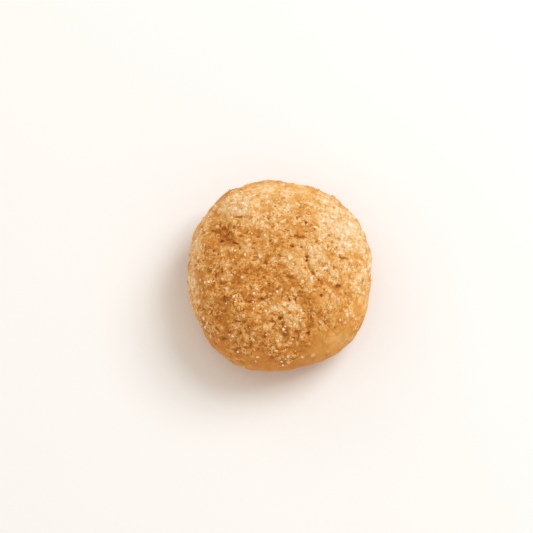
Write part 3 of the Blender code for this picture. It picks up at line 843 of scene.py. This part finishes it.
def arrays_of(shape):
    """The vertices and triangles of a small bmesh as arrays; the bmesh is freed."""
    bmesh.ops.recalc_face_normals(shape, faces=shape.faces[:])
    bmesh.ops.triangulate(shape, faces=shape.faces[:])
    shape.verts.index_update()
    points = np.array([vert.co for vert in shape.verts])
    faces = np.array([[vert.index for vert in face.verts] for face in shape.faces])
    shape.free()
    return points, faces


def soften_edges(shape, width):
    """A narrow bevel on every edge of a crystal."""
    bmesh.ops.bevel(
        shape,
        geom=shape.edges[:],
        offset=width,
        affect="EDGES",
        segments=2,
        profile=0.5,
        material=-1,
    )


def broken_crystal(draw, softened):
    """A blocky crystal about 1 across, with a corner broken off it."""
    block = bmesh.new()
    bmesh.ops.create_cube(block, size=1.0)
    sides = (1.0, draw.uniform(*GRAIN_WIDTH), draw.uniform(*BROKEN_THICKNESS))
    bmesh.ops.scale(block, vec=sides, verts=block.verts[:])
    slope = Vector([draw.uniform(*BROKEN_SLOPE) for _ in range(3)]).normalized()
    cut_off(block, slope * draw.uniform(*BROKEN_REACH), slope)
    if softened:
        soften_edges(block, draw.uniform(*BROKEN_BEVEL))
    return arrays_of(block)


def melted_crystal(draw):
    """A crystal about 1 across whose edges have melted round."""
    ball = bmesh.new()
    bmesh.ops.create_icosphere(ball, subdivisions=2, radius=1.0)
    offset = Vector([draw.uniform(0.0, 9.0) for _ in range(3)])
    for vert in ball.verts:
        reach = sum(abs(value) ** MELTED_BLOCKINESS for value in vert.co) ** (-1.0 / MELTED_BLOCKINESS)
        uneven = 1.0 + MELTED_UNEVENNESS * noise.noise(vert.co * MELTED_WAVES + offset)
        vert.co *= 0.5 * reach * uneven
    sides = (1.0, draw.uniform(*GRAIN_WIDTH), draw.uniform(*MELTED_THICKNESS))
    bmesh.ops.scale(ball, vec=sides, verts=ball.verts[:])
    return arrays_of(ball)


def largest_crystal(draw):
    """One of the largest crystals, with the solid's sides and taper, and its shortest side."""
    block = bmesh.new()
    bmesh.ops.create_cube(block, size=1.0)
    sides = sorted(draw.uniform(*CRYSTAL_SIDE) for _ in range(3))
    bmesh.ops.scale(block, vec=(sides[2], sides[1], sides[0]), verts=block.verts[:])
    for vert in block.verts:
        if vert.co.z > 0.0:
            vert.co.x *= draw.uniform(CRYSTAL_TAPER, 1.0)
            vert.co.y *= draw.uniform(CRYSTAL_TAPER, 1.0)
    soften_edges(block, CRYSTAL_BEVEL * sides[0])
    return arrays_of(block), sides[0]


class Grains:
    """Many grains of sugar, gathered as arrays and then made one mesh."""

    def __init__(self, name, crust):
        self.name = name
        self.crust = crust
        self.points = []
        self.faces = []
        self.shades = []
        self.spots = []
        self.total = 0

    def add(self, shape, turn, place, size, shade, index):
        """One grain: a shape's arrays, turned, sized and put in place, with a shade, on a crust vertex."""
        points, faces = shape
        self.points.append(points @ np.array(turn).T * size + place)
        self.faces.append(faces + self.total)
        self.shades.append(np.full(len(points), shade))
        self.spots.append(np.full(len(points), index))
        self.total += len(points)

    def lay(self, kind, shapes, index, draw):
        """A grain of a kind on a crust vertex; its side."""
        side, middle_rise, tilt, clearest = kind
        place, normal = self.crust.points[index], self.crust.normals[index]
        size = draw.uniform(*side)
        stand = place + normal * size * draw.uniform(*middle_rise)
        turn = turned_out(normal, draw, tilt)
        self.add(draw.choice(shapes), turn, stand, size, clearest * draw.random(), index)
        return size

    def make_mesh(self):
        """One mesh of all the grains, which share the crust's flakes and frosted zones."""
        mesh = bpy.data.meshes.new(self.name)
        mesh.from_pydata(np.concatenate(self.points), [], np.concatenate(self.faces))
        add_attribute(mesh, "shade", np.concatenate(self.shades))
        spots = np.concatenate(self.spots)
        for name, values in self.crust.shared.items():
            add_attribute(mesh, name, values[spots])
        return mesh


def spaced_spots(crust, spacing, draw, taken):
    """Numbers of crust vertices that keep apart, closer where the coat is thicker, and off taken places."""
    thick, thin = spacing
    grid = {}
    chosen = []

    def cell(place):
        return tuple(int(value // thin) for value in place)

    for place in taken:
        grid.setdefault(cell(place), []).append(place)
    order = np.nonzero(crust.cover > LEAST_COVER)[0].tolist()
    draw.shuffle(order)
    for index in order:
        cover = crust.cover[index]
        if cover < draw.uniform(LEAST_COVER, SURE_COVER):
            continue
        gap = thin + (thick - thin) * min(1.0, cover)
        place = crust.points[index]
        key = cell(place)
        around = (
            other
            for i in (-1, 0, 1)
            for j in (-1, 0, 1)
            for k in (-1, 0, 1)
            for other in grid.get((key[0] + i, key[1] + j, key[2] + k), ())
        )
        if all(np.dot(place - other, place - other) > gap * gap for other in around):
            grid.setdefault(key, []).append(place)
            chosen.append(index)
    return chosen


def turned_out(normal, draw, tilt):
    """A turn that stands +Z out of the crust, with a random tilt and spin."""
    turn = Matrix.Rotation(draw.uniform(0.0, math.tau), 3, "Z")
    turn = Matrix.Rotation(draw.gauss(0.0, tilt), 3, "X") @ turn
    turn = Matrix.Rotation(draw.uniform(0.0, math.tau), 3, "Z") @ turn
    return Vector(normal).to_track_quat("Z", "Y").to_matrix() @ turn


def add_largest(crust, grains):
    """The largest crystals, found and turned by the solid's own rule; their places and radii."""
    draw = random.Random(CRYSTAL_SEED)
    surface = BVHTree.FromPolygons(crust.points.tolist(), [face.vertices for face in crust.mesh.polygons])
    golden_angle = math.pi * (3.0 - math.sqrt(5.0))
    spread = CRYSTAL_JITTER / (WIDTH / 2)
    tilt = math.radians(CRYSTAL_TILT)
    shades = random.Random(SHADE_SEED)
    marks = []
    for index in range(CRYSTAL_PLACES):
        height = 1.0 - (index + 0.5) / CRYSTAL_PLACES
        ring = math.sqrt(1.0 - height * height)
        bearing = index * golden_angle
        direction = Vector((ring * math.cos(bearing), ring * math.sin(bearing), height))
        direction = (direction + Vector([draw.uniform(-spread, spread) for _ in range(3)])).normalized()
        shape, thickness = largest_crystal(draw)
        turned = Euler((draw.uniform(-tilt, tilt), draw.uniform(-tilt, tilt), draw.uniform(0.0, math.tau)))
        if draw.random() > sugar_cover(smooth_form(np.array([direction])))[0]:
            continue
        middle = Vector((0.0, 0.0, WAIST_HEIGHT))
        place, _, face, _ = surface.ray_cast(middle + direction * WIDTH, -direction)
        corner = crust.mesh.polygons[face].vertices[0]
        normal = Vector(crust.normals[corner])
        stand = place + normal * thickness * (0.5 - CRYSTAL_SUNK)
        turn = normal.to_track_quat("Z", "Y").to_matrix() @ turned.to_matrix()
        grains.add(shape, turn, np.array(stand), 1.0, shades.random(), corner)
        marks.append((np.array(place), 0.5 * thickness))
    return marks


def add_bright(crust, grains, shapes, draw):
    """The bright grains that stand out, at their own places; their places and radii."""
    marks = []
    for across, down in BRIGHT_GRAINS:
        index = crust.vertex_seen_at(across, down)
        size = draw.uniform(*BRIGHT_SIDE)
        stand = crust.points[index] + crust.normals[index] * size * BRIGHT_RISE
        turn = turned_out(crust.normals[index], draw, BRIGHT_TILT)
        grains.add(draw.choice(shapes), turn, stand, size, draw.uniform(*BRIGHT_SHADE), index)
        marks.append((crust.points[index], 0.5 * size))
    return marks


def make_sugar(crust):
    """All the sugar of the coat as meshes: largest, coarse, melted and fine grains."""
    draw = random.Random(SUGAR_SEED)
    sharp = [broken_crystal(draw, True) for _ in range(GRAIN_SHAPES)]
    melted = [melted_crystal(draw) for _ in range(GRAIN_SHAPES)]
    small = [broken_crystal(draw, False) for _ in range(GRAIN_SHAPES)]
    large_grains = Grains("largest_sugar", crust)
    coarse_grains = Grains("coarse_sugar", crust)
    melted_grains = Grains("melted_sugar", crust)
    fine_grains = Grains("fine_sugar", crust)
    marks = add_largest(crust, large_grains)
    marks += add_bright(crust, coarse_grains, melted, draw)
    for index in spaced_spots(crust, GRAIN_SPACING, draw, [place for place, _ in marks]):
        if draw.random() < MELTED_SHARE:
            size = melted_grains.lay(MELTED, melted, index, draw)
        else:
            size = coarse_grains.lay(COARSE, sharp, index, draw)
        marks.append((crust.points[index], GRAIN_HOLD * size))
    crust.swell_round(marks)
    for index in spaced_spots(crust, FINE_SPACING, draw, []):
        fine_grains.lay(FINE, small, index, draw)
    meshes = [grains.make_mesh() for grains in (large_grains, coarse_grains, melted_grains, fine_grains)]
    meshes[2].shade_smooth()
    return meshes


def show(mesh, material):
    """An object for a finished mesh, moved to the solid's axes, with its material."""
    x, y = OUTLINE_MIDDLE
    mesh.transform(Matrix.Translation((-x, -y, 0.0)))
    mesh.materials.append(material)
    mesh.update()
    piece = bpy.data.objects.new(mesh.name, mesh)
    bpy.context.scene.collection.objects.link(piece)
    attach(piece, "root")
    return piece


class Nodes:
    """Short ways to add and join the nodes of one material."""

    def __init__(self, name):
        self.material = bpy.data.materials.new(name)
        self.material.use_nodes = True
        self.tree = self.material.node_tree
        self.shader = self.tree.nodes["Principled BSDF"]

    def put(self, node, values):
        """Sets sockets of a node, each to a value or to another node's result."""
        for socket, value in values.items():
            if isinstance(value, bpy.types.NodeSocket):
                self.tree.links.new(value, node.inputs[socket])
            else:
                node.inputs[socket].default_value = value

    def add(self, kind, values, **settings):
        """The results of a new node, with its settings made and its sockets set."""
        node = self.tree.nodes.new(kind)
        for name, value in settings.items():
            setattr(node, name, value)
        self.put(node, values)
        return node.outputs

    def attribute(self, name):
        return self.add("ShaderNodeAttribute", {}, attribute_name=name)["Fac"]

    def object_place(self):
        return self.add("ShaderNodeTexCoord", {})["Object"]

    def height(self):
        return self.add("ShaderNodeSeparateXYZ", {"Vector": self.object_place()})["Z"]

    def noise(self, pattern, result="Fac"):
        """One of the noise patterns, as a number or as a colour."""
        scale, detail, roughness = PATTERNS[pattern]
        values = {"Vector": self.object_place(), "Scale": scale, "Detail": detail, "Roughness": roughness}
        return self.add("ShaderNodeTexNoise", values)[result]

    def math(self, operation, result, *others):
        """A number and others, joined one after another by the same operation."""
        for other in others:
            result = self.add("ShaderNodeMath", {0: result, 1: other}, operation=operation)["Value"]
        return result

    def times(self, *numbers):
        return self.math("MULTIPLY", *numbers)

    def plus(self, *numbers):
        return self.math("ADD", *numbers)

    def share(self, value, low, high, out_low=0.0, out_high=1.0):
        """Where a value lies between low and high, smoothly, told between two other numbers."""
        values = {"Value": value, "From Min": low, "From Max": high, "To Min": out_low, "To Max": out_high}
        return self.add("ShaderNodeMapRange", values, interpolation_type="SMOOTHSTEP")["Result"]

    def uneven(self, pattern, reach):
        """A noise pattern about zero, times a reach."""
        return self.times(self.math("SUBTRACT", self.noise(pattern), 0.5), reach)

    def vector(self, operation, values):
        return self.add("ShaderNodeVectorMath", values, operation=operation)["Vector"]

    def uneven_place(self):
        """Object coordinates pushed about by noise, so that marks made at them have uneven outlines."""
        push = self.vector("SUBTRACT", {0: self.noise("push", "Color"), 1: (0.5, 0.5, 0.5)})
        shift = self.vector("SCALE", {0: push, "Scale": PUSH})
        return self.vector("ADD", {0: self.object_place(), 1: shift})

    def rings(self, place, kind):
        """Uneven soft rings in a share of the cells of a pattern, each with its own size and strength."""
        scale, present, faintest, inside = RINGS[kind]
        cell = self.add("ShaderNodeTexVoronoi", {"Vector": place, "Scale": scale})
        number = self.add("ShaderNodeSeparateColor", {"Color": cell["Color"]})
        radius = self.share(number["Green"], 0.0, 1.0, *RING_RADIUS)
        reach = self.math("DIVIDE", cell["Distance"], radius)
        soft = self.share(reach, *RING_EDGE)
        filled = self.share(reach, *RING_INSIDE, inside, 1.0)
        shown = self.share(number["Red"], present, present - RING_CHOICE)
        strength = self.share(number["Blue"], 0.0, 1.0, faintest, 1.0)
        return self.times(soft, filled, shown, strength)

    def toward(self, tone, step, *shares):
        """A tone moved towards another one, by that one's strength and the product of several shares."""
        target, strength = step
        values = {"Factor": self.times(*shares, strength), "A": tone, "B": target}
        return self.add("ShaderNodeMix", values, data_type="FLOAT")["Result"]

    def colour_by(self, tone):
        """Gives the shader the colour of a tone on the honey line."""
        ramp = self.tree.nodes.new("ShaderNodeValToRGB")
        marks = ramp.color_ramp.elements
        while len(marks) < len(HONEY_LINE):
            marks.new(1.0)
        for mark, (place, colour) in zip(marks, HONEY_LINE):
            mark.position = place
            mark.color = (*colour, 1.0)
        self.put(ramp, {"Fac": tone})
        self.put(self.shader, {"Base Color": ramp.outputs["Color"]})


class Lace:
    """Melted sugar over crust and grains alike: rings and threads, spots for painted glints, white clumps
    and flakes.
    """

    def __init__(self, nodes):
        place = nodes.uneven_place()
        broad = nodes.times(nodes.rings(place, "broad"), BROAD_RINGS)
        medium, small = nodes.rings(place, "medium"), nodes.rings(place, "small")
        level = nodes.math("ABSOLUTE", nodes.uneven("threads", 1.0), 0.0)
        broken = nodes.share(nodes.noise("thread gaps"), *THREAD_GAPS)
        thread = nodes.times(nodes.share(level, *THREAD_WIDTH), broken)
        self.ring = nodes.math("MAXIMUM", broad, medium, small, thread)
        self.glint = nodes.rings(place, "glint")
        self.frosted = nodes.attribute("frosted")
        clumps = nodes.plus(nodes.noise("clumps"), nodes.times(self.frosted, FROST_SPREAD))
        self.clump = nodes.share(clumps, *CLUMP_SHARE)
        flakes = nodes.attribute("flakes")
        ragged = nodes.plus(flakes, nodes.uneven("flake edges", EDGE_RAGGEDNESS))
        self.flake = nodes.share(ragged, *FLAKE_SHARE)
        self.flake_tone = nodes.share(flakes, *FLAKE_TONES)
        self.frost_tone = nodes.share(self.frosted, *FROST_TONES)


def dough_tone(nodes, lace, coat, thick):
    """Golden dough, browner low on the side and between the rings of the lace, with painted shade where its
    lumps sink low.
    """
    tone = nodes.share(nodes.noise("dough"), *DOUGH_TONES)
    tone = nodes.plus(tone, nodes.share(coat, *BARE_PALER))
    tone = nodes.toward(tone, FOOT, nodes.share(nodes.height(), *FOOT_HEIGHTS))
    # painted shade where the lumps sink low
    tone = nodes.toward(tone, PAINTED_LUMP_GAP_SHADE, nodes.share(nodes.attribute("lump"), *LOW_LUMPS), coat)
    between_rings = nodes.share(lace.ring, *NO_RINGS)
    tone = nodes.toward(tone, RING_GAPS, between_rings, nodes.share(nodes.noise("gaps"), *GAP_SHARE), thick)
    return nodes.toward(tone, BROAD_BROWN, nodes.share(nodes.noise("broad"), *BROAD_SHARE), thick)


def sugared_tone(nodes, lace, thick, tone):
    """The dough's tone under a glaze with painted light, rings and clumps, browner where it baked longest
    and darker with painted shade, under flakes and painted glints.
    """
    glazed_and_lit = nodes.attribute("glazed_and_lit")
    # paler glaze, and painted light on the back right and along the left rim
    tone = nodes.toward(tone, GLAZE_AND_LIGHT, glazed_and_lit, nodes.share(nodes.noise("mottle"), *GLAZE_AND_LIGHT_MOTTLE))
    patches = nodes.share(nodes.noise("ring patches"), *RING_PATCHES)
    tone = nodes.toward(tone, CRUST_RINGS, lace.ring, thick, patches)
    clump = nodes.times(lace.clump, nodes.share(lace.frosted, *CLUMPS_BY_FROST))
    tone = nodes.toward(tone, (lace.frost_tone, 1.0), clump, nodes.share(lace.ring, *CLUMPS_BY_RINGS), thick)
    # browner from baking, and painted shade in the deep dimple and on the front left
    mottle = nodes.share(nodes.noise("mottle"), *BROWN_AND_SHADE_MOTTLE)
    tone = nodes.toward(tone, BROWN_AND_PAINTED_SHADE, nodes.attribute("browned_and_shaded"), mottle)
    tone = nodes.toward(tone, (lace.flake_tone, 1.0), lace.flake, nodes.share(lace.ring, *FLAKES_BY_RINGS))
    pale = nodes.math("MAXIMUM", glazed_and_lit, lace.frosted)
    # painted glints on the pale zones
    return nodes.toward(tone, PAINTED_GLINTS, lace.glint, nodes.share(pale, *GLINTS_BY_PALENESS), thick)


def marked_tone(nodes, tone):
    """The crust's tone with painted shade in its seams, hollows, valleys and pits."""
    # painted shade along the seams and folds
    seams = nodes.plus(nodes.attribute("seams"), nodes.uneven("seam edges", EDGE_RAGGEDNESS))
    tone = nodes.toward(tone, PAINTED_SEAM_SHADE, nodes.share(seams, *SEAM_SHARE))
    # painted shade in the hollows and valleys of the relief
    tone = nodes.toward(tone, PAINTED_HOLLOW_SHADE, nodes.share(nodes.attribute("hollow"), *HOLLOW_SHARE))
    tone = nodes.toward(tone, PAINTED_VALLEY_SHADE, nodes.share(nodes.attribute("valley"), *VALLEY_SHARE))
    # painted shade in the pits
    return nodes.toward(tone, PAINTED_PIT_SHADE, nodes.attribute("pit_shade"))


def crust_finish():
    """Baked honey dough under a lace of melted sugar, speckled, rough and a little translucent."""
    nodes = Nodes("baked_crust")
    lace = Lace(nodes)
    coat = nodes.attribute("coat")
    thick = nodes.share(coat, *THICK_COAT)
    tone = dough_tone(nodes, lace, coat, thick)
    tone = sugared_tone(nodes, lace, thick, tone)
    tone = marked_tone(nodes, tone)
    tone = nodes.plus(tone, nodes.uneven("speckles", nodes.share(coat, *SPECKLES_BY_COAT)))
    tone = nodes.plus(tone, nodes.uneven("fine speckles", nodes.share(coat, *FINE_SPECKLES_BY_COAT)))
    nodes.colour_by(tone)
    raised = nodes.times(nodes.plus(lace.ring, lace.clump), thick)
    bumps = nodes.times(nodes.noise("bumps"), nodes.share(coat, *BUMPS_BY_COAT))
    relief = {"Strength": 0.45, "Distance": 0.00022, "Height": nodes.plus(raised, bumps)}
    nodes.put(nodes.shader, {
        "Roughness": nodes.share(nodes.noise("crust gloss"), *CRUST_GLOSS),
        "Specular IOR Level": 0.08,
        "Specular Tint": (1.0, 0.72, 0.42, 1.0),
        "Subsurface Weight": 0.12,
        "Subsurface Radius": (1.0, 0.45, 0.15),
        "Subsurface Scale": 0.0012,
        "Normal": nodes.add("ShaderNodeBump", relief)["Normal"],
    })
    return nodes.material


def sugar_finish(name, stained, clear, bright, gloss, specular):
    """Sugar baked in honey, under the crust's own lace: each grain between two tones, a few bright, those of
    clear sugar white as painted glints.
    """
    nodes = Nodes(name)
    lace = Lace(nodes)
    shade = nodes.attribute("shade")
    tone = nodes.share(shade, 0.0, 1.0, stained, clear)
    tone = nodes.toward(tone, SUGAR_RINGS, lace.ring)
    tone = nodes.toward(tone, (lace.frost_tone, SUGAR_CLUMPS), lace.clump)
    tone = nodes.toward(tone, (lace.frost_tone, SUGAR_FROST), lace.frosted)
    tone = nodes.toward(tone, (lace.flake_tone, SUGAR_FLAKES), lace.flake)
    # the brightest grains: for clear sugar white, with painted glints
    tone = nodes.toward(tone, (bright, 1.0), nodes.share(shade, BRIGHT_ABOVE, 1.0))
    nodes.colour_by(nodes.plus(tone, nodes.uneven("fine speckles", SUGAR_SPECKLES)))
    nodes.put(nodes.shader, {
        "Roughness": nodes.share(nodes.noise("sugar gloss"), *gloss),
        "IOR": 1.54,
        "Specular Tint": (1.0, 0.88, 0.70, 1.0),
        "Specular IOR Level": specular,
    })
    return nodes.material


def make_cookie():
    """Every piece of the cookie."""
    crust = Crust(random.Random(CRUST_SEED))
    meshes = make_sugar(crust)
    crust.cut_base()
    dough = show(crust.mesh, crust_finish())
    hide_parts("honey_cookie")
    sunk = sugar_finish(*GLAZED_SUGAR)
    sharp = sugar_finish(*CLEAR_SUGAR)
    for mesh, finish in zip(meshes, (sunk, sharp, sunk, sharp)):
        show(mesh, finish)


def make_floor():
    """A wide pale floor."""
    board = bmesh.new()
    bmesh.ops.create_grid(board, x_segments=1, y_segments=1, size=FLOOR_SIZE)
    mesh = bpy.data.meshes.new("floor")
    board.to_mesh(mesh)
    board.free()
    nodes = Nodes("pale_floor")
    nodes.put(nodes.shader, {"Base Color": FLOOR_COLOUR, "Roughness": 0.9, "Specular IOR Level": 0.1})
    mesh.materials.append(nodes.material)
    floor = bpy.data.objects.new("floor", mesh)
    bpy.context.scene.collection.objects.link(floor)


def make_lights():
    """The soft lights, each turned to the cookie, in an even warm surround."""
    for name, direction, width, power, colour in LIGHTS:
        light = bpy.data.lights.new(name, "AREA")
        light.size = width
        light.energy = power
        light.color = colour
        lamp = bpy.data.objects.new(name, light)
        place = Vector(direction) * LIGHT_DISTANCE
        lamp.location = place
        lamp.rotation_euler = (Vector(LIGHT_TARGET) - place).to_track_quat("-Z", "Y").to_euler()
        bpy.context.scene.collection.objects.link(lamp)
    world = bpy.data.worlds.new("surround")
    world.use_nodes = True
    background = world.node_tree.nodes["Background"]
    background.inputs["Color"].default_value = SURROUND_COLOUR
    background.inputs["Strength"].default_value = SURROUND_STRENGTH
    bpy.context.scene.world = world
    bpy.context.scene.view_settings.view_transform = "Standard"


def make_camera():
    """A long lens that looks down on the cookie, with the cookie where the photograph has it."""
    place, back, _ = camera_frame()
    camera = bpy.data.objects.new("camera", bpy.data.cameras.new("camera"))
    camera.data.lens = LENS
    camera.data.sensor_width = SENSOR
    camera.location = place
    camera.rotation_euler = (-back).to_track_quat("-Z", "Y").to_euler()
    bpy.context.scene.collection.objects.link(camera)
    bpy.context.scene.camera = camera


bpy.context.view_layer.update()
make_camera()
make_cookie()
make_floor()
make_lights()
